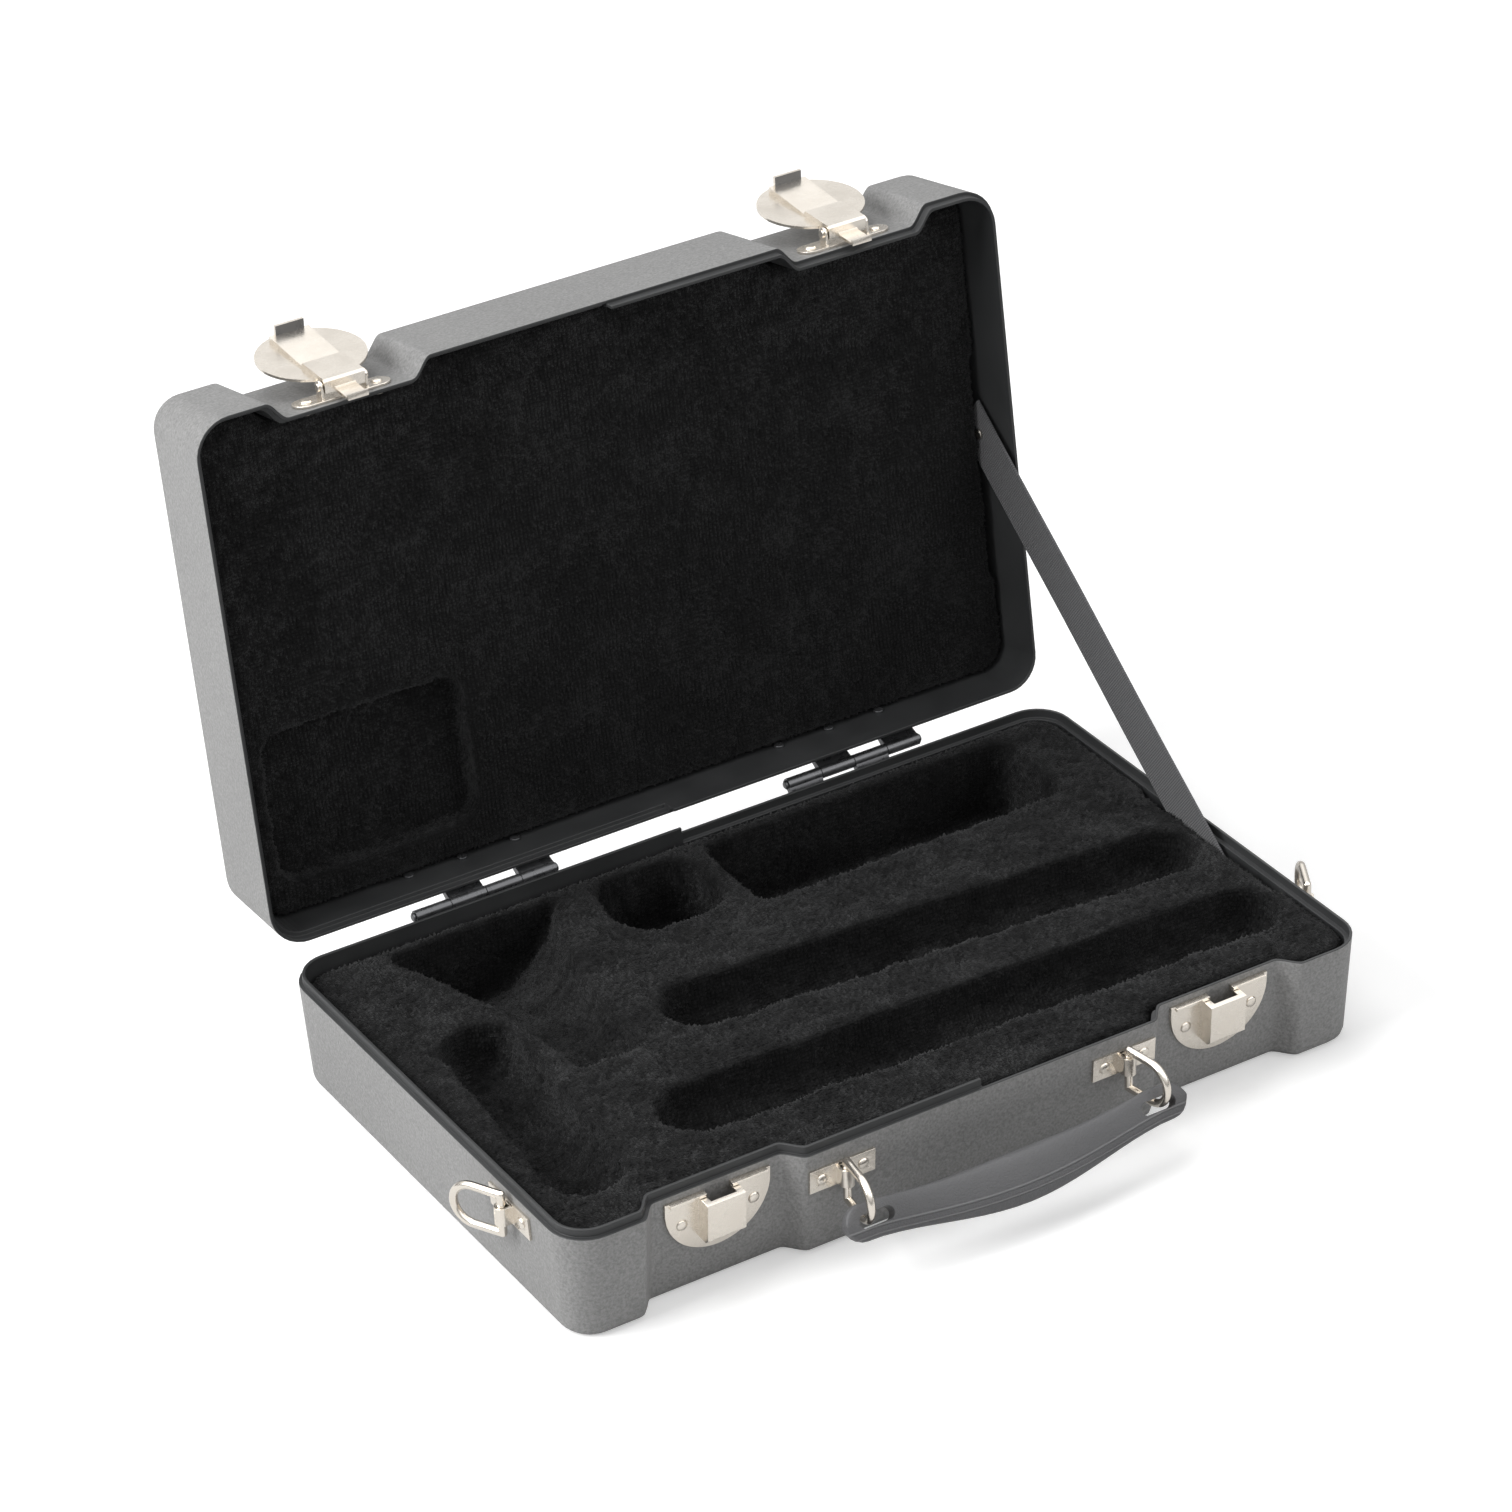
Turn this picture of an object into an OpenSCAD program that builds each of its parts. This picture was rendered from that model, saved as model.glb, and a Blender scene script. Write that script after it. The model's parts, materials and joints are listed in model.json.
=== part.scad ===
/* [Case] */
// Length of the case over its end walls
case_l = 325; // [320:1:345]
// Depth of the case from the front wall to the hinge wall
case_w = 199; // [195:1:215]
// Outside height of each half, floor to rim
half_h = 42; // [42:0.5:50]
// Thickness of the moulded walls
wall = 2.6; // [2.4:0.1:3]
// Thickness of the moulded floor
floor_t = 2.4; // [2:0.1:3.2]
// Lean of the walls over the height of a half
draft = 2.5; // [1.5:0.1:3.5]
// Corner radius in plan, at the rim
corner_r = 14; // [10:0.5:18]
// Radius of the edge round the floor
edge_r = 3.5; // [2:0.1:5]
// Gap between the two rims when the case is shut
part_gap = 0.3; // [0.2:0.05:0.6]
// Angle of the open lid from the shut position
lid_open = 98; // [60:1:100]

/* [Rim joint] */
// Height of the tongue above the rim
tongue_h = 3; // [2:0.1:3.5]
// Thickness of the outer lip beside the rebate
lip_t = 1.1; // [0.9:0.05:1.2]
// Clearance round the tongue
tongue_gap = 0.3; // [0.2:0.05:0.4]

/* [Latch recesses] */
// Distance of each latch from the middle of the case
latch_x = 102.4; // [100:0.2:105]
// Depth of a recess in the front wall
recess_d = 7; // [5:0.5:8]
// Width of a recess at the outer creases
recess_w = 64; // [62:1:66]
// Width of the flat at the bottom of a recess
recess_flat = 48; // [46:1:50]

/* [Latches] */
// Thickness of the latch sheet metal
sheet = 1; // [0.8:0.1:1.2]
// Distance of the lever pivot above the lid's rim
pivot_up = 6; // [5.5:0.1:7]
// Distance of the lever pivot from the recess wall
pivot_out = 5; // [4.8:0.1:5.6]
// Radius of the lever's round plate
disc_r = 19.7; // [17:0.1:20.5]
// Distance from the pivot to the middle of the round plate
disc_s = 22; // [21.5:0.1:24]
// Distance from the pivot to the thumb lip
thumb_s = 38; // [36:0.5:40]
// Lift of the lever as it rests with the lid open
lever_lift = 8; // [4:1:12]
// Outside width of the lever's channel
channel_w = 15.6; // [14:0.2:17]
// Width of the claw
claw_w = 8; // [6:0.2:9]
// Radius of the lever's pivot pin
lever_pin_r = 1; // [0.8:0.05:1.2]

/* [Keepers] */
// Width of the keeper plate
keeper_w = 41; // [38:0.5:44]
// Drop from the rim to the top of the keeper plate
keeper_drop = 2.6; // [2.4:0.1:3]
// Height of the keeper plate
keeper_h = 24; // [22:0.5:26]
// Width of the keeper's raised box
box_w = 15; // [13:0.5:17]
// How far the raised box stands from the wall
box_out = 7.1; // [7:0.1:7.5]

/* [Hinges] */
// Distance of each hinge from the middle of the case
hinge_x = 78.5; // [70:0.5:100]
// Length of a hinge
hinge_l = 58; // [48:1:66]
// Radius of the hinge knuckles
knuckle_r = 2.3; // [2:0.1:2.5]
// Distance of the hinge axis behind the rim
hinge_off = 5; // [4.5:0.1:5.5]
// Radius of the hinge pin
hinge_pin_r = 1.1; // [0.9:0.05:1.3]
// Thickness of the hinge leaves
leaf_t = 1.2; // [1:0.1:1.4]

/* [Handle and rings] */
// Distance of each handle bracket from the middle of the case
bracket_x = 57.5; // [54:0.5:58]
// Height of the handle brackets above the table
bracket_z = 31; // [29:0.5:32]
// Width of a ring bracket
bracket_w = 26; // [24:0.5:28]
// Height of a ring bracket
bracket_h = 9; // [8:0.5:10]
// Radius of the ring wire
wire_r = 1.5; // [1.3:0.1:1.6]
// Radius of the ring's bow
bow_r = 7.7; // [7.5:0.1:8.5]
// Distance from the ring's bar to the middle of its bow
leg_l = 11.3; // [11:0.1:13]
// Lean of the handle rings away from the middle
ring_splay = 8; // [0:1:10]
// Droop of the resting handle below the horizontal
handle_droop = 52; // [40:1:54]
// Half length of the grip
grip_half = 69; // [68:0.5:70]
// Bow of the grip between its ends
grip_bow = 5.5; // [4:0.5:17]
// Width of the grip across the hand
grip_w = 18; // [15:0.5:20]
// Thickness of the grip at its middle
grip_t = 10; // [7:0.2:12]
// Height of the end rings' brackets above the table
end_ring_z = 34; // [29:0.5:34]
// Distance of the end rings in front of the middle
end_ring_y = 59.5; // [50:0.5:65]
// How far the handle rings hang below the middle of their brackets
ring_drop = 2; // [0:0.1:2.4]
// Turn of the resting end rings towards the back
end_ring_turn = 62; // [0:1:65]

/* [Lining] */
// Drop from the base's rim to the top of its lining
lining_drop = 4; // [4:0.5:6]
// Drop from the lid's rim to the face of its lining
lid_lining_drop = 15; // [14:0.5:18]
// Gap between a lining and its shell
lining_gap = 0.4; // [0.3:0.1:0.6]

/* [Stay strap] */
// Width of the strap
strap_w = 20; // [16:1:22]
// Thickness of the strap
strap_t = 0.9; // [0.6:0.1:1.2]

/* [Hidden] */

shell_colour = "#3d3e40";
plush_colour = "#181a1b";
nickel_colour = "#d8d0c4";
steel_colour = "#3a3c3f";
ribbon_colour = "#4c4c4e";
grip_colour = "#4a4a4c";

// Fine rounding of turned pieces
fine = 48;
// Steps in a quarter turn of the outline's corners
corner_steps = 8;
// Steps across one shoulder of a recess
shoulder_steps = 8;

lean = atan(draft / half_h);
rim_y = case_w / 2;
rim_x = case_l / 2;
recess_y = rim_y - recess_d;
hinge_y = rim_y + hinge_off;
hinge_z = half_h + part_gap / 2;

// Riveting: a hole that just clears the shank, a domed head and a clinched tail
shank_r = 1.2;
hole_r = shank_r + 0.05;
head_r = 2.2;
head_h = 0.9;
tail_r = 1.9;
tail_h = 0.8;

/* Outline of a half, seen from above and inset by d */

function smooth(t) = t * t * (3 - 2 * t);
function quarter(cx, cy, r, start) =
  [for (i = [0 : corner_steps]) let (a = start + 90 * i / corner_steps) [cx + r * cos(a), cy + r * sin(a)]];
// A recess grows sideways with the inset as fast as its mean slope asks
function recess_spread(d) = d * tan(atan(2 * recess_d / (recess_w - recess_flat)) / 2);
function shoulder(cx, d, side) =
  [for (i = [0 : shoulder_steps])
    let (
      t = i / shoulder_steps,
      across = recess_w / 2 + (recess_flat - recess_w) / 2 * t + recess_spread(d)
    )
    [cx + side * across, -(rim_y - d) + recess_d * smooth(t)]];
function reversed(list) = [for (i = [len(list) - 1 : -1 : 0]) list[i]];
function recess(cx, d) = concat(shoulder(cx, d, -1), reversed(shoulder(cx, d, 1)));
function outline(d) =
  let (
    x = rim_x - d,
    y = rim_y - d,
    r = max(corner_r - d, 2)
  )
  concat(
    quarter(-x + r, -y + r, r, 180), recess(-latch_x, d), recess(latch_x, d),
    quarter(x - r, -y + r, r, 270), quarter(x - r, y - r, r, 0), quarter(-x + r, y - r, r, 90)
  );

// Inset that the leaning wall adds at height z
function lean_inset(z) = draft * (1 - z / half_h);

// Closed skin through a stack of outlines, levels = [[height, inset], ...]
module loft(levels) {
  rings = [for (l = levels) outline(l[1])];
  n = len(rings[0]);
  points = [for (i = [0 : len(levels) - 1]) for (p = rings[i]) [p.x, p.y, levels[i][0]]];
  sides = [for (i = [0 : len(levels) - 2]) for (j = [0 : n - 1])
    let (a = i * n + j, b = i * n + (j + 1) % n) each [[a, a + n, b + n], [a, b + n, b]]];
  bottom = [for (j = [0 : n - 1]) j];
  top = [for (j = [n - 1 : -1 : 0]) (len(levels) - 1) * n + j];
  polyhedron(points, concat([bottom], sides, [top]), convexity = 8);
}

// Levels that round the edge of the floor
function edge_levels(z0, inset, r) =
  [for (a = [0 : 30 : 90]) [z0 + r * (1 - cos(a)), inset + lean_inset(z0 + r * (1 - cos(a))) + r * (1 - sin(a))]];

// Loft of the leaning walls from below height z0 to above the rim, rounded round its floor
module tub(z0, inset, r) {
  loft(concat(
    [[z0 - 1, inset + lean_inset(z0) + r + 1]], edge_levels(z0, inset, r),
    [[half_h, inset], [half_h + 1, inset]]
  ));
}

// Keeps what lies between two heights, so that floors and tops are cut flat
module between(z0, z1) {
  intersection() {
    children();
    translate([-case_l, -case_l, z0])
      cube([2 * case_l, 2 * case_l, z1 - z0]);
  }
}

// Places children on a wall: z away from the wall, y up the wall, origin at the rim
// turn 0 is the front, 180 the hinge wall, -90 the left end and 90 the right end
module on_wall(turn, distance, along, down) {
  rotate([0, 0, turn])
    translate([along, -distance, half_h])
      rotate([90 + lean, 0, 0])
        translate([0, -down, 0])
          children();
}

// The lid's half is the base's half turned over about Y and set on its rim
module flip_to_lid() {
  translate([0, 0, 2 * half_h + part_gap])
    rotate([0, 180, 0])
      children();
}

// Swings closed lid pieces to the open position
module open_lid() {
  translate([0, hinge_y, hinge_z])
    rotate([-lid_open, 0, 0])
      translate([0, -hinge_y, -hinge_z])
        children();
}

module rivet(plate_t, grip = wall) {
  rotate_extrude($fn = fine)
    polygon([
      [0, -grip - tail_h], [tail_r, -grip - tail_h], [tail_r, -grip], [shank_r, -grip],
      [shank_r, plate_t], [head_r, plate_t], [head_r * 0.8, plate_t + head_h * 0.6], [0, plate_t + head_h]
    ]);
}

module rivet_hole() {
  translate([0, 0, -wall - 1])
    cylinder(r = hole_r, h = wall + 6, $fn = fine);
}

/* Places of the rivets, one module for each group */

leaf_rivet_pitch = 22;
leaf_rivet_down = 15;
module at_leaf_rivets() {
  for (side = [-1, 1])
    for (k = [-1 : 1])
      on_wall(180, rim_y, side * hinge_x + k * leaf_rivet_pitch, leaf_rivet_down)
        children();
}

keeper_rivet_down = 13;
keeper_rivet_x = 14;
module at_keeper_rivets(side) {
  for (k = [-1, 1])
    on_wall(0, recess_y, side * latch_x + k * keeper_rivet_x, keeper_rivet_down)
      children();
}

bracket_rivet_x = 8.2;
module at_handle_rivets(side) {
  for (k = [-1, 1])
    on_wall(0, rim_y, side * bracket_x + k * bracket_rivet_x, half_h - bracket_z)
      children();
}

module at_end_rivets(side) {
  for (k = [-1, 1])
    on_wall(side * 90, rim_x, -side * end_ring_y + k * bracket_rivet_x, half_h - end_ring_z)
      children();
}

latch_rivet_x = 13.8;
latch_plate_down = 7.5;
module at_latch_rivets(side) {
  for (k = [-1, 1])
    on_wall(0, recess_y, side * latch_x + k * latch_rivet_x, latch_plate_down)
      children();
}

/* Shell: one moulding serves as base and as lid */

rebate_h = tongue_h + tongue_gap;
split_gap = tongue_gap;

module half_space(from_x, to_x) {
  translate([from_x, -case_w, 0])
    square([to_x - from_x, 2 * case_w]);
}

module tongue() {
  root = 1;
  translate([0, 0, half_h - root])
    linear_extrude(tongue_h + root)
      difference() {
        intersection() {
          polygon(outline(lip_t + tongue_gap));
          half_space(-case_l, -split_gap);
        }
        polygon(outline(wall));
      }
}

module rebate() {
  translate([0, 0, half_h - rebate_h])
    linear_extrude(rebate_h + 1)
      intersection() {
        polygon(outline(lip_t));
        half_space(0, case_l);
      }
}

module shell_body() {
  difference() {
    union() {
      difference() {
        between(0, half_h)
          tub(0, 0, edge_r);
        between(floor_t, 2 * half_h)
          tub(floor_t, wall, edge_r - 1);
      }
      tongue();
    }
    rebate();
  }
}

module base_shell() {
  color(shell_colour)
    difference() {
      shell_body();
      at_leaf_rivets() rivet_hole();
      for (side = [-1, 1]) {
        at_keeper_rivets(side) rivet_hole();
        at_handle_rivets(side) rivet_hole();
        at_end_rivets(side) rivet_hole();
      }
      at_base_strap_rivet() rivet_hole();
    }
}

module lid_shell() {
  color(shell_colour)
    open_lid() flip_to_lid()
      difference() {
        shell_body();
        at_leaf_rivets() rivet_hole();
        for (side = [-1, 1])
          at_latch_rivets(side) rivet_hole();
        at_lid_strap_rivet() rivet_hole();
      }
}

/* Linings */

// Room for the tail of a rivet that grips this much
tail_room = 0.6;
module tail_pocket(grip = wall) {
  translate([0, 0, -grip - tail_h - tail_room])
    cylinder(r = tail_r + tail_room, h = tail_h + tail_room + 1, $fn = fine);
}

// Lining body that fills a half from its floor to the height top_z, with a rolled edge
module lining_body(top_z) {
  roll = 2.5;
  base_inset = wall + lining_gap;
  z0 = floor_t + lining_gap;
  levels = concat(
    [[z0 - 1, base_inset + lean_inset(z0) + edge_r]],
    edge_levels(z0, base_inset, edge_r - 1),
    [
      [top_z - roll, base_inset + lean_inset(top_z - roll)],
      [top_z - roll * 0.3, base_inset + lean_inset(top_z) + roll * 0.3],
      [top_z, base_inset + lean_inset(top_z) + roll],
      [top_z + 1, base_inset + lean_inset(top_z) + 2 * roll]
    ]
  );
  between(z0, top_z)
    loft(levels);
}

// Level trough with a round bottom and round ends between two points of its axis
module trough(from, to, r) {
  d = to - from;
  len_d = norm(d);
  turn = atan2(d.y, d.x);
  translate(from)
    rotate([0, 0, turn])
      rotate([0, 90, 0])
        rotate_extrude($fn = 72)
          polygon(concat(
            [for (a = [-90 : 10 : 0]) [r * cos(a), r * sin(a)]],
            [for (a = [0 : 10 : 90]) [r * cos(a), len_d + r * sin(a)]]
          ));
}

// Straight-sided pocket with rounded corners, from floor height z up
module pocket(from, to, r, z) {
  size = to - from;
  translate([from.x, from.y, z])
    linear_extrude(half_h)
      union() {
        translate([r, 0]) square([size.x - 2 * r, size.y]);
        translate([0, r]) square([size.x, size.y - 2 * r]);
        for (x = [r, size.x - r])
          for (y = [r, size.y - r])
            translate([x, y]) circle(r = r, $fn = fine);
      }
}

lining_top = half_h - lining_drop;
bowl_x = -93;
bowl_z = 42;
bowl_mouth_r = 36;
bowl_throat_r = 14;
bowl_back_y = 91;
bowl_front_y = -8;
// Wide round hollow that narrows towards the front like a horn, open upwards
module horn_hollow() {
  steps = 10;
  sides = 20;
  n = sides + 3;
  points = [for (i = [0 : steps])
    let (
      t = i / steps,
      r = bowl_throat_r + (bowl_mouth_r - bowl_throat_r) * pow(t, 2.2),
      y = bowl_front_y + (bowl_back_y - bowl_front_y) * t
    )
    each concat(
      [for (k = [0 : sides]) let (a = 90 + 180 * k / sides) [bowl_x + r * sin(a), y, bowl_z + r * cos(a)]],
      [[bowl_x - r, y, bowl_z + 10], [bowl_x + r, y, bowl_z + 10]]
    )];
  walls = [for (i = [0 : steps - 1]) for (k = [0 : n - 1])
    let (a = i * n + k, b = i * n + (k + 1) % n) [a, a + n, b + n, b]];
  front = [for (k = [0 : n - 1]) k];
  back = [for (k = [n - 1 : -1 : 0]) steps * n + k];
  polyhedron(points, concat([front], walls, [back]), convexity = 6);
}

trough_r = 14.5;
trough_z = 35;
short_trough = [[-127, 22, trough_z], [-134, -60, trough_z]];
back_trough = [[-50, 3, trough_z], [138, -9, trough_z]];
front_trough = [[-84, -50, trough_z], [138, -57, trough_z]];
store_pocket = [[2, 45], [135, 90]];
well_pocket = [[-47, 52], [-4, 90]];
pocket_floor = 8;
well_floor = 12;

// Slot beside the right end wall where the strap slides in
strap_x = rim_x - 5.5;
strap_slot_half = strap_t / 2 + 0.6;
module strap_slot(from_y, to_y, floor_z) {
  translate([strap_x - strap_slot_half, from_y, floor_z])
    cube([20, to_y - from_y, 2 * half_h]);
}

module base_lining_body() {
  difference() {
    lining_body(lining_top);
    horn_hollow();
    trough(short_trough[0], short_trough[1], trough_r);
    trough(back_trough[0], back_trough[1], trough_r);
    trough(front_trough[0], front_trough[1], trough_r);
    pocket(store_pocket[0], store_pocket[1], 7, pocket_floor);
    pocket(well_pocket[0], well_pocket[1], 12, well_floor);
    strap_slot(-54, 30, 5);
    at_leaf_rivets() tail_pocket();
    at_base_strap_rivet() tail_pocket(strap_grip(strap_foot.y));
    for (side = [-1, 1]) {
      at_keeper_rivets(side) tail_pocket();
      at_handle_rivets(side) tail_pocket();
      at_end_rivets(side) tail_pocket();
    }
  }
}

// The lining is built up from ten blocks that meet just beside the middle lines of the hollows
seam_shift = 1;
function seam(p) = [p.x, p.y - seam_shift];
short_seam = [[short_trough[0].x - seam_shift, short_trough[0].y], [short_trough[1].x - seam_shift, short_trough[1].y]];
back_seam = [seam(back_trough[0]), seam(back_trough[1])];
front_seam = [seam(front_trough[0]), seam(front_trough[1])];
bell_seam_x = bowl_x + 1.5;
throat_seam = [bell_seam_x, bowl_front_y - 12];
rear_seam_y = (store_pocket[0].y + store_pocket[1].y) / 2;
bell_left = [bowl_x - bowl_mouth_r - 4, case_w];

front_joint_x = bracket_x;
back_joint_x = (well_pocket[1].x + store_pocket[0].x) / 2;

// What lies in one region of the plan, between two distances along the case
module lining_block(region, from_x = -case_l, to_x = case_l) {
  color(plush_colour)
    intersection() {
      base_lining_body();
      linear_extrude(2 * half_h)
        intersection() {
          polygon(region);
          half_space(from_x, to_x);
        }
    }
}

front_region = [
  [-case_l, -case_w], [case_l, -case_w], [case_l, front_seam[1].y], front_seam[1], front_seam[0],
  short_seam[1], [-case_l, short_seam[1].y]
];
module base_lining_front() { lining_block(front_region, -front_joint_x, front_joint_x); }
module base_lining_front_left() { lining_block(front_region, -case_l, -front_joint_x); }
module base_lining_front_right() { lining_block(front_region, front_joint_x, case_l); }

module base_lining_left() {
  lining_block([
    [-case_l, short_seam[1].y], short_seam[1], short_seam[0], bell_left, [-case_l, case_w]
  ]);
}

module base_lining_bell() {
  lining_block([
    short_seam[1], front_seam[0], throat_seam, [bell_seam_x, case_w], bell_left, short_seam[0]
  ]);
}

module base_lining_middle() {
  lining_block([
    front_seam[0], front_seam[1], [case_l, front_seam[1].y], [case_l, back_seam[1].y], back_seam[1],
    back_seam[0], throat_seam
  ]);
}

back_region = [
  throat_seam, back_seam[0], back_seam[1], [case_l, back_seam[1].y], [case_l, rear_seam_y],
  [bell_seam_x, rear_seam_y]
];
module base_lining_back() { lining_block(back_region, back_joint_x, case_l); }
module base_lining_back_left() { lining_block(back_region, -case_l, back_joint_x); }

rear_region = [
  [bell_seam_x, rear_seam_y], [case_l, rear_seam_y], [case_l, case_w], [bell_seam_x, case_w]
];
module base_lining_rear() { lining_block(rear_region, back_joint_x, case_l); }
module base_lining_rear_left() { lining_block(rear_region, -case_l, back_joint_x); }

lid_pocket = [[68, 16], [150, 74]];
lid_pocket_deep = 10;
module lid_lining() {
  lid_top = half_h - lid_lining_drop;
  color(plush_colour)
    open_lid() flip_to_lid()
      difference() {
        lining_body(lid_top);
        translate([0, rim_y, 0])
          mirror([0, 1, 0])
            pocket(lid_pocket[0], lid_pocket[1], 9, lid_top - lid_pocket_deep);
        mirror([1, 0, 0])
          strap_slot(-30, 60, 8);
        at_leaf_rivets() tail_pocket();
        at_lid_strap_rivet() tail_pocket(strap_grip(lid_anchor.y));
      }
}

/* Hinges */

knuckles = 4;
knuckle_l = hinge_l / knuckles;
knuckle_gap = 0.3;
leaf_low = 22;
leaf_joggle = 6;
hinge_bore_r = hinge_pin_r + 0.05;
function wall_y(z) = rim_y - lean_inset(z);

// One leaf: a plate on the hinge wall with two knuckles carried out to the axis
module hinge_leaf(cx) {
  low = half_h - leaf_low;
  high = half_h - leaf_joggle;
  color(steel_colour)
    difference() {
      union() {
        translate([cx - hinge_l / 2, 0, 0])
          extrude_x(hinge_l)
            polygon([
              [wall_y(low), low], [wall_y(low) + leaf_t, low],
              [wall_y(high) + leaf_t, high], [wall_y(high), high]
            ]);
        for (k = [0, 2])
          translate([cx - hinge_l / 2 + k * knuckle_l + knuckle_gap / 2, 0, 0]) {
            extrude_x(knuckle_l - knuckle_gap)
              polygon([
                [wall_y(high) + leaf_t * 0.02, high - 1], [wall_y(high) + leaf_t, high - 1],
                [hinge_y, hinge_z - knuckle_r], [hinge_y - knuckle_r * 0.9, hinge_z],
                [wall_y(high) + leaf_t * 0.02, high]
              ]);
            translate([0, hinge_y, hinge_z])
              rotate([0, 90, 0])
                cylinder(r = knuckle_r, h = knuckle_l - knuckle_gap, $fn = fine);
          }
      }
      translate([cx - hinge_l, hinge_y, hinge_z])
        rotate([0, 90, 0])
          cylinder(r = hinge_bore_r, h = 2 * hinge_l, $fn = fine);
      at_leaf_rivets() rivet_hole();
    }
}

// Extrudes a profile drawn in (y, z) along x
module extrude_x(length) {
  rotate([90, 0, 90])
    linear_extrude(length)
      children();
}

module base_hinge_leaf_left() { hinge_leaf(-hinge_x); }
module base_hinge_leaf_right() { hinge_leaf(hinge_x); }
module lid_hinge_leaf_left() { open_lid() flip_to_lid() hinge_leaf(hinge_x); }
module lid_hinge_leaf_right() { open_lid() flip_to_lid() hinge_leaf(-hinge_x); }

module hinge_pin(cx) {
  peen_t = 0.8;
  peen_r = hinge_pin_r + 0.6;
  half = hinge_l / 2 + knuckle_gap / 2;
  color(steel_colour)
    translate([cx - half - peen_t, hinge_y, hinge_z])
      rotate([90, 0, 90])
        rotate_extrude($fn = fine)
          polygon([
            [0, 0], [peen_r * 0.7, 0], [peen_r, peen_t * 0.5], [peen_r, peen_t], [hinge_pin_r, peen_t],
            [hinge_pin_r, peen_t + 2 * half], [peen_r, peen_t + 2 * half], [peen_r, peen_t * 1.5 + 2 * half],
            [peen_r * 0.7, 2 * peen_t + 2 * half], [0, 2 * peen_t + 2 * half]
          ]);
}

module hinge_pin_left() { hinge_pin(-hinge_x); }
module hinge_pin_right() { hinge_pin(hinge_x); }
module base_hinge_rivets() { color(steel_colour) at_leaf_rivets() rivet(leaf_t); }
module lid_hinge_rivets() { color(steel_colour) open_lid() flip_to_lid() at_leaf_rivets() rivet(leaf_t); }

/* Keepers */

plate_t = 1.2;
lip_out = 2.6;
claw_slot_w = claw_w + 2;
box_high = keeper_drop + 1.4;
box_low = 20.5;
box_wall = 0.8;
keeper_round_r = keeper_w / 2;

module keeper_plate(side) {
  color(nickel_colour)
    difference() {
      on_wall(0, recess_y, side * latch_x, 0)
        union() {
          linear_extrude(plate_t)
            keeper_outline();
          translate([-keeper_w / 2 + 1.5, -keeper_drop - plate_t, 0])
            cube([keeper_w - 3, plate_t, lip_out]);
          keeper_box(0, box_w, box_out);
        }
      on_wall(0, recess_y, side * latch_x, 0)
        keeper_box(box_wall, box_w - 2 * box_wall, box_out - box_wall);
      on_wall(0, recess_y, side * latch_x, 0)
        translate([-claw_slot_w / 2, -box_high - box_wall - 0.01, -1])
          cube([claw_slot_w, box_high + 1, 1 + claw_slot_out]);
      at_keeper_rivets(side) rivet_hole();
    }
}

// The slot reaches this far from the wall; the claw hooks under what is left
claw_slot_out = 5.1;

module keeper_outline() {
  round_y = keeper_round_r - keeper_h - keeper_drop;
  intersection() {
    translate([-keeper_w / 2, -keeper_h - keeper_drop])
      square([keeper_w, keeper_h]);
    union() {
      translate([0, round_y]) circle(r = keeper_round_r, $fn = 96);
      translate([-keeper_w / 2, round_y]) square([keeper_w, keeper_h]);
    }
  }
}

// Raised box of the keeper, or with a wall inset the space inside it
module keeper_box(inset, width, out) {
  chamfer = 1.6;
  foot = inset > 0 ? -1 : 0;
  translate([-width / 2, 0, 0])
    rotate([90, 0, 90])
      linear_extrude(width)
        polygon([
          [-box_high - inset, foot], [-box_high - inset, out],
          [-box_low + chamfer + inset, out], [-box_low + inset, out - chamfer], [-box_low + inset, foot]
        ]);
}

module keeper_plate_left() { keeper_plate(-1); }
module keeper_plate_right() { keeper_plate(1); }
module keeper_rivets() {
  color(nickel_colour)
    for (side = [-1, 1])
      at_keeper_rivets(side) rivet(plate_t);
}

/* Latches: a riveted bracket with two ears, a pin and a sprung lever with a claw */

bracket_plate_h = 10;
bracket_plate_w = 37.5;
ear_gap = 0.3;
ear_r = 2.3;
// The ears start inside the plate, just off the wall
ear_root = 0.2;
ear_x = channel_w / 2 + ear_gap;

// Frame of a latch in the lid's half: z out from the wall, y up towards the lid's top
module at_latch(side) {
  translate([side * latch_x, -recess_y, half_h])
    rotate([90, 0, 0])
      rotate([0, 0, 180])
        children();
}

module latch_bracket(side) {
  color(nickel_colour)
    open_lid() flip_to_lid()
      difference() {
        union() {
          on_wall(0, recess_y, side * latch_x, latch_plate_down)
            linear_extrude(sheet)
              rounded_bar(bracket_plate_w, bracket_plate_h);
          at_latch(side)
            for (x = [-ear_x - sheet, ear_x])
              translate([x, 0, 0])
                latch_ear();
        }
        at_latch(side)
          translate([-ear_x - 3, pivot_up, pivot_out])
            rotate([0, 90, 0])
              cylinder(r = lever_pin_r + 0.02, h = 2 * ear_x + 6, $fn = fine);
        at_latch_rivets(side) rivet_hole();
      }
}

module rounded_bar(w, h) {
  union() {
    square([w - h, h], center = true);
    for (x = [-1, 1])
      translate([x * (w - h) / 2, 0]) circle(r = h / 2, $fn = fine);
  }
}

module latch_ear() {
  union() {
    translate([0, pivot_up, pivot_out])
      rotate([0, 90, 0])
        cylinder(r = ear_r, h = sheet, $fn = fine);
    translate([0, pivot_up - ear_r, ear_root])
      cube([sheet, 2 * ear_r, pivot_out - ear_root]);
  }
}

// The lid is the turned half, so its left latch sits on the turned half's right
module latch_bracket_left() { latch_bracket(1); }
module latch_bracket_right() { latch_bracket(-1); }
module latch_bracket_rivets() {
  color(nickel_colour)
    open_lid() flip_to_lid()
      for (side = [-1, 1])
        at_latch_rivets(side) rivet(sheet);
}

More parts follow.
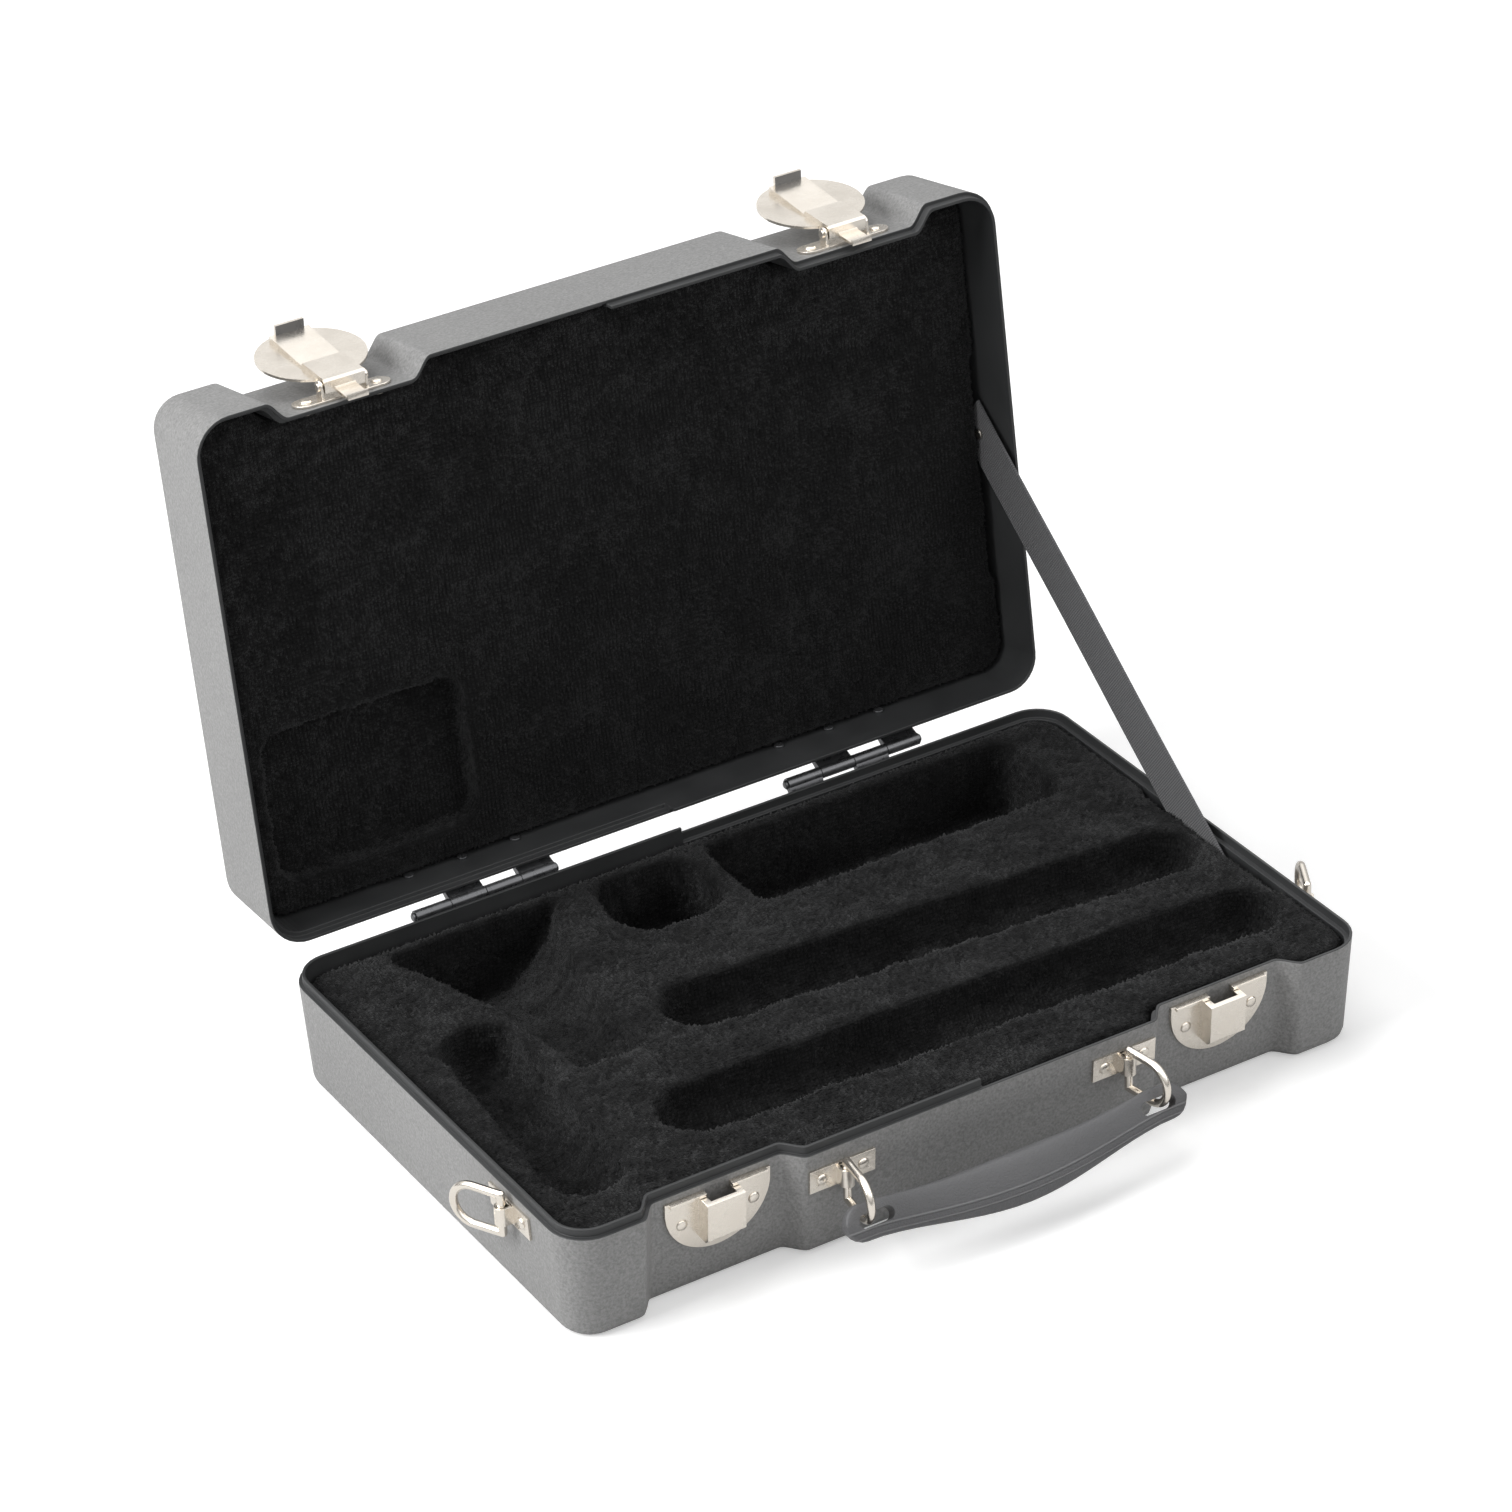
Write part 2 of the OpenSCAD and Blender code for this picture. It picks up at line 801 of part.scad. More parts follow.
module latch_pin(side) {
  head_t = 0.6;
  half = ear_x + sheet;
  color(nickel_colour)
    open_lid() flip_to_lid()
      at_latch(side)
        translate([-half - head_t, pivot_up, pivot_out])
          rotate([90, 0, 90])
            rotate_extrude($fn = fine)
              polygon([
                [0, 0], [lever_pin_r + 0.5, 0], [lever_pin_r + 0.5, head_t], [lever_pin_r, head_t],
                [lever_pin_r, head_t + 2 * half], [lever_pin_r + 0.5, head_t + 2 * half],
                [lever_pin_r + 0.5, 2 * head_t + 2 * half], [0, 2 * head_t + 2 * half]
              ]);
}

module latch_pin_left() { latch_pin(1); }
module latch_pin_right() { latch_pin(-1); }

// Lever frame: y along the lever from the pivot, z out from the wall, drawn latched
channel_back = -2.8;
channel_end = 14;
channel_top = 3.4;
cheek_low = -1.9;
disc_low = 0.2;
disc_t = 1;
strip_t = 0.8;
thumb_h = 5.4;
thumb_w = 11.2;
claw_in = -1.5;
claw_t = 1;
claw_hook = 1.1;
lip_under = pivot_up + part_gap + box_high + box_wall + 0.3;
claw_toe_t = 1;

module latch_lever(side) {
  color(nickel_colour)
    open_lid() flip_to_lid()
      at_latch(side)
        translate([0, pivot_up, pivot_out])
          rotate([lever_lift, 0, 0])
            difference() {
              union() {
                lever_plate();
                lever_channel();
                lever_claw();
              }
              translate([-channel_w, 0, 0])
                rotate([0, 90, 0])
                  cylinder(r = lever_pin_r + 0.05, h = 2 * channel_w, $fn = fine);
            }
}

module lever_plate() {
  // Round plate, cut clear of the bracket's ears
  difference() {
    translate([0, disc_s, disc_low])
      cylinder(r = disc_r, h = disc_t, $fn = 96);
    translate([-channel_w, -disc_r, disc_low - 1])
      cube([2 * channel_w, disc_r + ear_r + 0.8, disc_t + 2]);
  }
  // Raised strip down the middle, ending in the thumb lip
  translate([-channel_w / 2, channel_end - 1, disc_low])
    cube([channel_w, thumb_s - channel_end + 1, disc_t + strip_t]);
  translate([-thumb_w / 2, thumb_s - sheet, disc_low])
    cube([thumb_w, sheet * 1.2, thumb_h]);
}

module lever_channel() {
  difference() {
    translate([-channel_w / 2, 0, 0])
      rotate([90, 0, 90])
        linear_extrude(channel_w)
          polygon([
            [channel_back, cheek_low], [channel_back, channel_top - 0.8], [channel_back + 0.8, channel_top],
            [channel_end - 0.8, channel_top], [channel_end, channel_top - 0.8], [channel_end, disc_low],
            [ear_r + 1, disc_low], [ear_r - 0.3, cheek_low]
          ]);
    translate([-channel_w / 2 + sheet, channel_back + sheet, cheek_low - 1])
      cube([channel_w - 2 * sheet, channel_end - channel_back - 2 * sheet, channel_top - cheek_low + 1 - sheet]);
  }
}

module lever_claw() {
  translate([-claw_w / 2, 0, 0])
    rotate([90, 0, 90])
      linear_extrude(claw_w)
        polygon([
          [channel_back + sheet, claw_in], [channel_back + sheet, claw_in + claw_t + 0.6],
          [channel_back, claw_in + claw_t + 0.6],
          [channel_back - 1, claw_in + claw_t], [-lip_under, claw_in + claw_t],
          [-lip_under, claw_in + claw_t + claw_hook], [-lip_under - claw_toe_t * 0.6, claw_in + claw_t + claw_hook],
          [-lip_under - claw_toe_t, claw_in + claw_t], [-lip_under - claw_toe_t, claw_in]
        ]);
}

module latch_lever_left() { latch_lever(1); }
module latch_lever_right() { latch_lever(-1); }

/* Ring brackets, rings and handle */

bar_out = 3.65;
bar_gap = 0.1;
loop_t = 1;
loop_h = 7;

// Bracket in the wall's frame, with an upright loop that holds the ring's bar
module ring_bracket() {
  difference() {
    union() {
      linear_extrude(sheet)
        square([bracket_w, bracket_h], center = true);
      loop_body(wire_r + bar_gap + loop_t, 0, bar_out - sheet / 2);
    }
    loop_body(wire_r + bar_gap, 1, bar_out - sheet - 0.4);
  }
}

module loop_body(r, past, reach) {
  translate([0, 0, bar_out])
    rotate([90 - lean, 0, 0])
      translate([0, 0, -loop_h / 2 - past])
        union() {
          cylinder(r = r, h = loop_h + 2 * past, $fn = fine);
          translate([-r, -reach, 0])
            cube([2 * r, reach, loop_h + 2 * past]);
        }
}

module handle_bracket(side) {
  color(nickel_colour)
    difference() {
      on_wall(0, rim_y, side * bracket_x, half_h - bracket_z)
        ring_bracket();
      at_handle_rivets(side) rivet_hole();
    }
}

module end_bracket(side) {
  color(nickel_colour)
    difference() {
      on_wall(side * 90, rim_x, -side * end_ring_y, half_h - end_ring_z)
        ring_bracket();
      at_end_rivets(side) rivet_hole();
    }
}

module handle_bracket_left() { handle_bracket(-1); }
module handle_bracket_right() { handle_bracket(1); }
module end_ring_bracket_left() { end_bracket(-1); }
module end_ring_bracket_right() { end_bracket(1); }
module handle_bracket_rivets() {
  color(nickel_colour)
    for (side = [-1, 1])
      at_handle_rivets(side) rivet(sheet);
}
module end_ring_rivets() {
  color(nickel_colour)
    for (side = [-1, 1])
      at_end_rivets(side) rivet(sheet);
}

// Place of a ring's bar in front of a wall that leans
function bar_distance(rim, z) = rim - lean_inset(z) + bar_out;

// D-shaped ring: bar along z at the origin, bow towards -y
module d_ring() {
  union() {
    translate([0, 0, -bow_r]) cylinder(r = wire_r, h = 2 * bow_r, $fn = fine);
    for (k = [-1, 1])
      translate([0, 0, k * bow_r]) {
        sphere(r = wire_r, $fn = fine);
        rotate([90, 0, 0]) cylinder(r = wire_r, h = leg_l, $fn = fine);
      }
    translate([0, -leg_l, 0])
      rotate([0, 90, 0])
        rotate([0, 0, 180])
          rotate_extrude(angle = 180, $fn = 96)
            translate([bow_r, 0]) circle(r = wire_r, $fn = fine);
  }
}

module handle_ring(side) {
  color(nickel_colour)
    translate([side * bracket_x, -bar_distance(rim_y, bracket_z), handle_z])
      rotate([0, 0, side * ring_splay])
        d_ring();
}

module end_ring(side) {
  color(nickel_colour)
    translate([side * bar_distance(rim_x, end_ring_z), -end_ring_y, end_ring_z])
      rotate([0, 0, side * (90 + end_ring_turn)])
        d_ring();
}

module handle_ring_left() { handle_ring(-1); }
module handle_ring_right() { handle_ring(1); }
module end_ring_left() { end_ring(-1); }
module end_ring_right() { end_ring(1); }

handle_y = -bar_distance(rim_y, bracket_z) - leg_l * cos(ring_splay);
handle_z = bracket_z - ring_drop;
slot_in = 50.4;
slot_out = 64.2;
slot_wide = 2 * wire_r + 1.8;
eye_r = bow_r + 0.1;
end_t = 5;
end_w = 13;

// Middle line, half width and half thickness of the grip at x
bow_reach = 60;
function grip_mid(x) = eye_r + grip_bow * pow(1 - pow(min(abs(x) / bow_reach, 1), 2), 1.5);
function grip_round(x) = sqrt(max(1 - pow(max(abs(x) - (grip_half - end_w / 2), 0) / (end_w / 2), 2), 0.02));
function grip_hw(x) = (end_w + (grip_w - end_w) * (1 - smooth(min(abs(x) / slot_in, 1)))) / 2 * grip_round(x);
function grip_ht(x) = (end_t + (grip_t - end_t) * (1 - smooth(min(abs(x) / slot_in, 1)))) / 2;

// Grip drawn in (x, radius from the hinge line, thickness): lofted rings of a rounded section
module grip_body() {
  sides = 20;
  stations = concat(
    [for (a = [90 : -18 : 18]) -(grip_half - end_w / 2 + end_w / 2 * sin(a))],
    [for (i = [-10 : 10]) i * (grip_half - end_w / 2) / 10],
    [for (a = [18 : 18 : 90]) grip_half - end_w / 2 + end_w / 2 * sin(a)]
  );
  n = len(stations);
  points = [for (x = stations) for (k = [0 : sides - 1])
    let (
      a = 360 * k / sides,
      c = cos(a),
      s = sin(a)
    )
    [x, grip_mid(x) + grip_hw(x) * sign(c) * pow(abs(c), 0.8), grip_ht(x) * sign(s) * pow(abs(s), 0.62)]];
  faces = [for (i = [0 : n - 2]) for (k = [0 : sides - 1])
    let (a = i * sides + k, b = i * sides + (k + 1) % sides) each [[a, a + sides, b + sides], [a, b + sides, b]]];
  first = [for (k = [0 : sides - 1]) k];
  last = [for (k = [sides - 1 : -1 : 0]) (n - 1) * sides + k];
  polyhedron(points, concat([first], faces, [last]), convexity = 6);
}

module grip_slot(side) {
  translate([side * (slot_in + slot_out) / 2, eye_r, 0])
    linear_extrude(4 * end_t, center = true)
      rounded_bar(slot_out - slot_in, slot_wide);
}

module handle_grip() {
  color(grip_colour)
    translate([0, handle_y, handle_z])
      rotate([handle_droop, 0, 0])
        mirror([0, 1, 0])
          difference() {
            grip_body();
            for (side = [-1, 1])
              grip_slot(side);
          }
}

/* Stay strap from the base's right end to the lid's */

// Anchors of the strap's middle line in the open position
strap_foot = [-27, 20];
strap_head = [134, 143];
strap_end = 9;

module at_base_strap_rivet() {
  on_wall(90, rim_x, strap_foot.x, half_h - strap_foot.y)
    children();
}

// The same point of the lid in the turned half's own frame
function lid_point(p) =
  let (
    dy = p.x - hinge_y,
    dz = p.y - hinge_z,
    y = dy * cos(lid_open) - dz * sin(lid_open) + hinge_y,
    z = dy * sin(lid_open) + dz * cos(lid_open) + hinge_z
  )
  [y, 2 * half_h + part_gap - z];
lid_anchor = lid_point(strap_head);

module at_lid_strap_rivet() {
  on_wall(-90, rim_x, -lid_anchor.x, half_h - lid_anchor.y)
    children();
}

module stay_strap() {
  run = strap_head - strap_foot;
  span = norm(run);
  slope = atan2(run.y, run.x);
  color(ribbon_colour)
    translate([strap_x - strap_t / 2, strap_foot.x, strap_foot.y])
      rotate([slope, 0, 0])
        difference() {
          translate([0, -strap_end, -strap_w / 2])
            cube([strap_t, span + 2 * strap_end, strap_w]);
          for (y = [0, span])
            translate([-1, y, 0])
              rotate([0, 90, 0])
                cylinder(r = shank_r + 0.6, h = strap_t + 2, $fn = fine);
        }
}

// Grip from the wall's outside, at height z of a half, to the strap's inner face
function strap_grip(z) = rim_x - lean_inset(z) - strap_x + strap_t / 2 + 0.2;

module strap_rivet_base() { color(nickel_colour) at_base_strap_rivet() rivet(0, strap_grip(strap_foot.y)); }
module strap_rivet_lid() {
  color(nickel_colour)
    open_lid() flip_to_lid()
      at_lid_strap_rivet() rivet(0, strap_grip(lid_anchor.y));
}

base_shell();
base_lining_front();
base_lining_front_left();
base_lining_front_right();
base_lining_left();
base_lining_bell();
base_lining_middle();
base_lining_back();
base_lining_back_left();
base_lining_rear();
base_lining_rear_left();
base_hinge_leaf_left();
base_hinge_leaf_right();
hinge_pin_left();
hinge_pin_right();
base_hinge_rivets();
keeper_plate_left();
keeper_plate_right();
keeper_rivets();
handle_bracket_left();
handle_bracket_right();
handle_bracket_rivets();
end_ring_bracket_left();
end_ring_bracket_right();
end_ring_rivets();
stay_strap();
strap_rivet_base();
lid_shell();
lid_lining();
lid_hinge_leaf_left();
lid_hinge_leaf_right();
lid_hinge_rivets();
latch_bracket_left();
latch_bracket_right();
latch_bracket_rivets();
latch_pin_left();
latch_pin_right();
strap_rivet_lid();
latch_lever_left();
latch_lever_right();
handle_grip();
handle_ring_left();
handle_ring_right();
end_ring_left();
end_ring_right();
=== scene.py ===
"""The looks of an open hard case: grained moulded halves, plush linings and nickel fittings."""
import json
import math
import random

import bmesh
import bpy
from mathutils import Matrix, Vector, noise
from mathutils.bvhtree import BVHTree


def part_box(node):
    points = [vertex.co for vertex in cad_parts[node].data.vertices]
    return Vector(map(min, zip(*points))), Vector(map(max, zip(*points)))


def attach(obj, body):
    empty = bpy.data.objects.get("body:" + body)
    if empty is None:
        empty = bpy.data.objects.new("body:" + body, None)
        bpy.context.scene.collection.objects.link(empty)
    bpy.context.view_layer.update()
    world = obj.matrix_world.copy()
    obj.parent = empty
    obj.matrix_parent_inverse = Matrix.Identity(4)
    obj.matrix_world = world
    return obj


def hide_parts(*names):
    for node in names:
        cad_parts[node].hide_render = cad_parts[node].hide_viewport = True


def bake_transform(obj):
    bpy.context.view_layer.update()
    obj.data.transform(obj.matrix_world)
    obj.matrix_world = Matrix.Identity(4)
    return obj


MM = 0.001

# The camera stands where the photograph's stood, found from the edges of the base and the lid
CAMERA_AZIMUTH = math.radians(-30.82)
CAMERA_ELEVATION = math.radians(31.20)
CAMERA_ROLL = math.radians(-2.22)
CAMERA_DISTANCE = 1.8672
CAMERA_TARGET = Vector((-0.02548, 0.0, 0.13268))
PHOTO_SIZE = 1512
FOCAL_PIXELS = 5480
SENSOR = 36


def make_camera():
    toward = -Vector((
        math.sin(CAMERA_AZIMUTH) * math.cos(CAMERA_ELEVATION),
        -math.cos(CAMERA_AZIMUTH) * math.cos(CAMERA_ELEVATION),
        math.sin(CAMERA_ELEVATION),
    ))
    level_right = Vector((math.cos(CAMERA_AZIMUTH), math.sin(CAMERA_AZIMUTH), 0))
    level_up = level_right.cross(toward)
    right = level_right * math.cos(CAMERA_ROLL) + level_up * math.sin(CAMERA_ROLL)
    up = level_up * math.cos(CAMERA_ROLL) - level_right * math.sin(CAMERA_ROLL)
    data = bpy.data.cameras.new("camera")
    data.sensor_width = SENSOR
    data.lens = FOCAL_PIXELS / PHOTO_SIZE * SENSOR
    data.clip_end = 20
    camera = bpy.data.objects.new("camera", data)
    turn = Matrix((right, up, -toward)).transposed()
    camera.matrix_world = Matrix.Translation(CAMERA_TARGET - toward * CAMERA_DISTANCE) @ turn.to_4x4()
    bpy.context.scene.collection.objects.link(camera)
    bpy.context.scene.camera = camera


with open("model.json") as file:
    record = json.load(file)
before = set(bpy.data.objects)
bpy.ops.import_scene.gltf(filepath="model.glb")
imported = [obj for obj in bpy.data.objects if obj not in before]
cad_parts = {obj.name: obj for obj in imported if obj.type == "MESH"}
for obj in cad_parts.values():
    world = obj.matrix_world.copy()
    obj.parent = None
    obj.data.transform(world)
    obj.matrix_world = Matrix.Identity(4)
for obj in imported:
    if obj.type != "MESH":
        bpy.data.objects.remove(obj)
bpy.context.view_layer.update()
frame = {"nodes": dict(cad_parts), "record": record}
make_camera()
bpy.context.scene.view_settings.view_transform = "Standard"


class Wire:
    """A value in a material or a world. Python arithmetic on it adds Math nodes."""

    def __init__(self, nodes, socket):
        self.nodes = nodes
        self.socket = socket

    def math(self, operation, *values):
        return self.nodes.node("ShaderNodeMath", {"operation": operation}, values)

    def __add__(self, other):
        return self.math("ADD", self, other)

    def __radd__(self, other):
        return self.math("ADD", other, self)

    def __sub__(self, other):
        return self.math("SUBTRACT", self, other)

    def __rsub__(self, other):
        return self.math("SUBTRACT", other, self)

    def __mul__(self, other):
        return self.math("MULTIPLY", self, other)

    def __rmul__(self, other):
        return self.math("MULTIPLY", other, self)

    def __truediv__(self, other):
        return self.math("DIVIDE", self, other)

    def __pow__(self, other):
        return self.math("POWER", self, other)

    def sine(self):
        return self.math("SINE", self)


class Nodes:
    """The nodes of one material or world."""

    def __init__(self, tree):
        self.tree = tree

    def node(self, kind, settings, values, output=0):
        """Adds a node with its settings, then its sockets' values or links, and gives one output."""
        made = self.tree.nodes.new(kind)
        for key, value in settings.items():
            setattr(made, key, value)
        pairs = values.items() if isinstance(values, dict) else enumerate(values)
        for key, value in pairs:
            if isinstance(value, Wire):
                self.tree.links.new(value.socket, made.inputs[key])
            else:
                made.inputs[key].default_value = value
        return Wire(self, made.outputs[output])

    def axis(self, name, place):
        return self.node("ShaderNodeSeparateXYZ", {}, {"Vector": place}, name)

    def stretch(self, value, low, high, to_low=0.0, to_high=1.0):
        values = {"Value": value, "From Min": low, "From Max": high, "To Min": to_low, "To Max": to_high}
        return self.node("ShaderNodeMapRange", {"clamp": True}, values, "Result")


class Finish(Nodes):
    """A procedural material on Object coordinates, in metres.

    Its extra settings are sockets of the shader, with underscores for spaces.
    """

    def __init__(self, name, color, roughness, **fixed):
        self.material = bpy.data.materials.new(name)
        self.material.use_nodes = True
        super().__init__(self.material.node_tree)
        self.shader = self.tree.nodes["Principled BSDF"]
        self.shader.inputs["Base Color"].default_value = (*color, 1)
        self.shader.inputs["Roughness"].default_value = roughness
        for socket, value in fixed.items():
            self.shader.inputs[socket.replace("_", " ")].default_value = value
        self.place = self.node("ShaderNodeTexCoord", {}, {}, "Object")

    def noise(self, scale, detail=2.0, rough=0.5, place=None):
        values = {"Vector": place or self.place, "Scale": scale, "Detail": detail, "Roughness": rough}
        return self.node("ShaderNodeTexNoise", {}, values, "Fac")

    def cells(self, scale, feature):
        values = {"Vector": self.place, "Scale": scale}
        return self.node("ShaderNodeTexVoronoi", {"feature": feature}, values, "Distance")

    def turned(self, rotation=(0, 0, 0), scale=(1, 1, 1)):
        values = {"Vector": self.place, "Rotation": rotation, "Scale": scale}
        return self.node("ShaderNodeMapping", {}, values, "Vector")

    def mix(self, factor, first, second):
        values = {"Factor": factor, 6: (*first, 1), 7: (*second, 1)}
        return self.node("ShaderNodeMix", {"data_type": "RGBA"}, values, 2)

    def bump(self, height, distance, strength=1.0, below=None):
        values = {"Height": height, "Distance": distance, "Strength": strength}
        if below is not None:
            values["Normal"] = below
        return self.node("ShaderNodeBump", {}, values, "Normal")

    def feed(self, socket, wire):
        self.tree.links.new(wire.socket, self.shader.inputs[socket])


def moulded_grain():
    """Charcoal moulded plastic with a fine pebble grain, its colour lifted above the plastic's own as painted
    sheen for the light the grain scatters.
    """
    finish = Finish("moulded_grain", (0.22, 0.22, 0.218), 0.55, Specular_IOR_Level=0.4)
    pebbles = finish.cells(1050, "SMOOTH_F1")
    fine = finish.noise(950, 3, 0.7)
    cloud = finish.noise(16, 3)
    finish.feed("Base Color", finish.mix(
        finish.stretch(cloud * 0.12 + fine * 0.88, 0.36, 0.64), (0.166, 0.166, 0.165), (0.272, 0.271, 0.268)))
    finish.feed("Roughness", finish.stretch(fine, 0.3, 0.7, 0.48, 0.62))
    finish.feed("Normal", finish.bump(pebbles * 1.0 + fine * 0.5, 0.0002, 0.45))
    return finish.material


def plush_pile():
    """Black plush, nearly black at its roots as painted shade within the pile and greyer at its tips, with
    lighter soft patches painted as sheen where the pile lies differently.
    """
    finish = Finish("plush_pile", (0.0065, 0.0065, 0.0066), 0.85, Specular_IOR_Level=0.12,
                    Sheen_Weight=0.12, Sheen_Roughness=0.5, Sheen_Tint=(0.66, 0.67, 0.68, 1))
    tip = finish.node("ShaderNodeAttribute", {"attribute_name": "tip"}, {}, "Fac")
    sheen_patches = finish.noise(38, 4, 0.6)
    tufts = finish.noise(500, 3, 0.65)
    strands = finish.noise(1900, 2, 0.6)
    # Darker roots are painted shade in the pile and the lighter patches are painted sheen; the tufts vary the
    # tone at random
    tone = finish.stretch(tip * 0.5 + sheen_patches * 0.22 + tufts * 0.5, 0.25, 1.0)
    finish.feed("Base Color", finish.mix(tone, (0.0011, 0.0011, 0.0012), (0.0175, 0.0175, 0.0178)))
    finish.feed("Normal", finish.bump(tufts * 0.6 + strands * 0.6, 0.0009, 0.8))
    return finish.material


def nickel(name, dull, shiny):
    """Nickel plate whose roughness wanders between two values."""
    finish = Finish(name, (0.74, 0.7, 0.64), (dull + shiny) / 2, Metallic=1.0)
    cloud = finish.noise(90, 3)
    hairline = finish.noise(900, 2, 0.6, finish.turned(scale=(1, 12, 12)))
    finish.feed("Roughness", finish.stretch(cloud * 0.6 + hairline * 0.4, 0.35, 0.7, shiny, dull))
    finish.feed("Base Color", finish.mix(cloud, (0.7, 0.645, 0.57), (0.78, 0.735, 0.67)))
    finish.feed("Normal", finish.bump(hairline, 0.00003, 0.3))
    return finish.material


def dark_steel():
    """Blued steel of the hinges, a little uneven."""
    finish = Finish("dark_steel", (0.12, 0.122, 0.128), 0.3, Metallic=0.7)
    cloud = finish.noise(300, 3)
    finish.feed("Roughness", finish.stretch(cloud, 0.3, 0.7, 0.22, 0.38))
    finish.feed("Base Color", finish.mix(cloud, (0.09, 0.092, 0.097), (0.16, 0.162, 0.168)))
    return finish.material


# The ribbon rises from its foot on the base, at (y -27, z 20), to its head on the lid, at (134, 143)
STRAP_SLOPE = math.atan2(143 - 20, 134 + 27)
RIB_PITCH = 0.9 * MM
THREAD_PITCH = 0.6 * MM


def woven_ribbon(slope):
    """Grosgrain ribbon: weft ribs across its length and warp threads along it."""
    finish = Finish("woven_ribbon", (0.09, 0.09, 0.095), 0.82, Sheen_Weight=0.2)
    along = finish.turned(rotation=(-slope, 0, 0))
    ribs = (finish.axis("Y", along) * (2 * math.pi / RIB_PITCH)).sine()
    threads = (finish.axis("Z", along) * (2 * math.pi / THREAD_PITCH)).sine()
    speck = finish.noise(1800, 2)
    height = ribs * 0.5 + threads * 0.25 + speck * 0.4
    finish.feed("Normal", finish.bump(height, 0.00018, 0.8))
    tone = finish.stretch(height, -0.4, 0.9)
    finish.feed("Base Color", finish.mix(tone, (0.055, 0.055, 0.058), (0.12, 0.12, 0.125)))
    return finish.material


# The grip at rest: the line it hangs from, how it droops and how it bows, and the place and
# half width of each welt line, from its middle line outward
GRIP_LINE = (-113.69 * MM, 29 * MM)
GRIP_DROOP = math.radians(52)
GRIP_BOW = 5.5 * MM
GRIP_BOW_REACH = 60 * MM
GRIP_EYE = 7.8 * MM
WELTS = ((2.6 * MM, 0.6 * MM), (5.2 * MM, 0.45 * MM))


def grip_grain():
    """Soft dark plastic with a fine leather grain and two welted lines along the outer edge, painted lighter
    as a highlight along their ridges.
    """
    finish = Finish("grip_grain", (0.085, 0.085, 0.088), 0.5)
    x = finish.axis("X", finish.place)
    below = GRIP_LINE[1] - finish.axis("Z", finish.place)
    before = GRIP_LINE[0] - finish.axis("Y", finish.place)
    reach = before * math.cos(GRIP_DROOP) + below * math.sin(GRIP_DROOP)
    along = x.math("ABSOLUTE", x / GRIP_BOW_REACH)
    along = along.math("MINIMUM", along, 1.0)
    bow = ((1 - along * along) ** 1.5) * GRIP_BOW
    across = reach - bow - GRIP_EYE
    lines = 0
    for where, width in WELTS:
        off = (across - where) / width
        ridge = 1 - off * off
        lines = lines + ridge.math("MAXIMUM", ridge, 0.0)
    folds = finish.cells(800, "DISTANCE_TO_EDGE")
    fine = finish.noise(2300, 2)
    creases = finish.stretch(folds, 0.0, 0.22)
    cloud = finish.noise(30, 3)
    # The welt lines raise the colour: a painted highlight along their ridges
    finish.feed("Base Color", finish.mix(cloud * 0.25 + lines * 0.6, (0.07, 0.07, 0.073), (0.2, 0.2, 0.206)))
    finish.feed("Roughness", finish.stretch(fine, 0.3, 0.7, 0.42, 0.58))
    grain = finish.bump(creases * 0.8 + fine * 0.3, 0.00014, 0.6)
    finish.feed("Normal", finish.bump(lines, 0.0006, 1.0, grain))
    return finish.material


def smooth_moulding():
    """The same plastic where the mould is plain, the rim and the inside of the walls, made darker as painted
    shade.
    """
    finish = Finish("smooth_moulding", (0.036, 0.037, 0.038), 0.42, Specular_IOR_Level=0.35)
    cloud = finish.noise(60, 3)
    finish.feed("Roughness", finish.stretch(cloud, 0.3, 0.7, 0.36, 0.5))
    finish.feed("Base Color", finish.mix(cloud, (0.03, 0.031, 0.032), (0.044, 0.045, 0.046)))
    finish.feed("Normal", finish.bump(finish.noise(1500, 2), 0.00005, 0.4))
    return finish.material


FINISHES = {
    "shell": moulded_grain(),
    "plush": plush_pile(),
    "nickel": nickel("satin_nickel", 0.34, 0.21),
    "hinge_steel": dark_steel(),
    "ribbon": woven_ribbon(STRAP_SLOPE),
    "grip": grip_grain(),
}
# A darker copy of the shell plastic: painted shade on the rim and the inner walls
SMOOTH_PAINTED_SHADE = smooth_moulding()
POLISHED = nickel("polished_nickel", 0.24, 0.14)

# How far each kind of piece has its edges broken, and from which angle an edge counts as one
SHEET_BEVEL = 0.2 * MM
BRACKET_BEVEL = 0.3 * MM
MOULDED_BEVEL = 0.35 * MM
WIRE_BEVEL = 0.05 * MM
RIVET_BEVEL = 0.06 * MM
GRIP_BEVEL = 0.7 * MM
PRESSED_CREASE = 32
GRIP_CREASE = 40

SLOT_OF = {row["node"]: row["material_slot"] for row in frame["record"]["subparts"]}
BODY_OF = {node: body for body, nodes in frame["record"]["behaviour"]["bodies"].items() for node in nodes}


def solid_copy(node, weld=2e-6):
    """A bmesh of a CAD node with its loose triangles welded."""
    shape = bmesh.new()
    shape.from_mesh(frame["nodes"][node].data)
    bmesh.ops.remove_doubles(shape, verts=shape.verts, dist=weld)
    return shape


def make_piece(name, shape, material):
    """An object at the origin that shows the bmesh."""
    mesh = bpy.data.meshes.new(name)
    shape.to_mesh(mesh)
    shape.free()
    mesh.materials.append(material)
    piece = bpy.data.objects.new(name, mesh)
    bpy.context.scene.collection.objects.link(piece)
    return piece


def stand_for(piece, node):
    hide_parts(node)
    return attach(piece, BODY_OF[node])


def smooth_by_angle(piece, degrees):
    for face in piece.data.polygons:
        face.use_smooth = True
    piece.data.set_sharp_from_angle(angle=math.radians(degrees))


def shade(piece, degrees):
    """Smooth shading between sharp edges, led by the larger faces."""
    smooth_by_angle(piece, degrees)
    piece.modifiers.new("even_shading", "WEIGHTED_NORMAL").keep_sharp = True


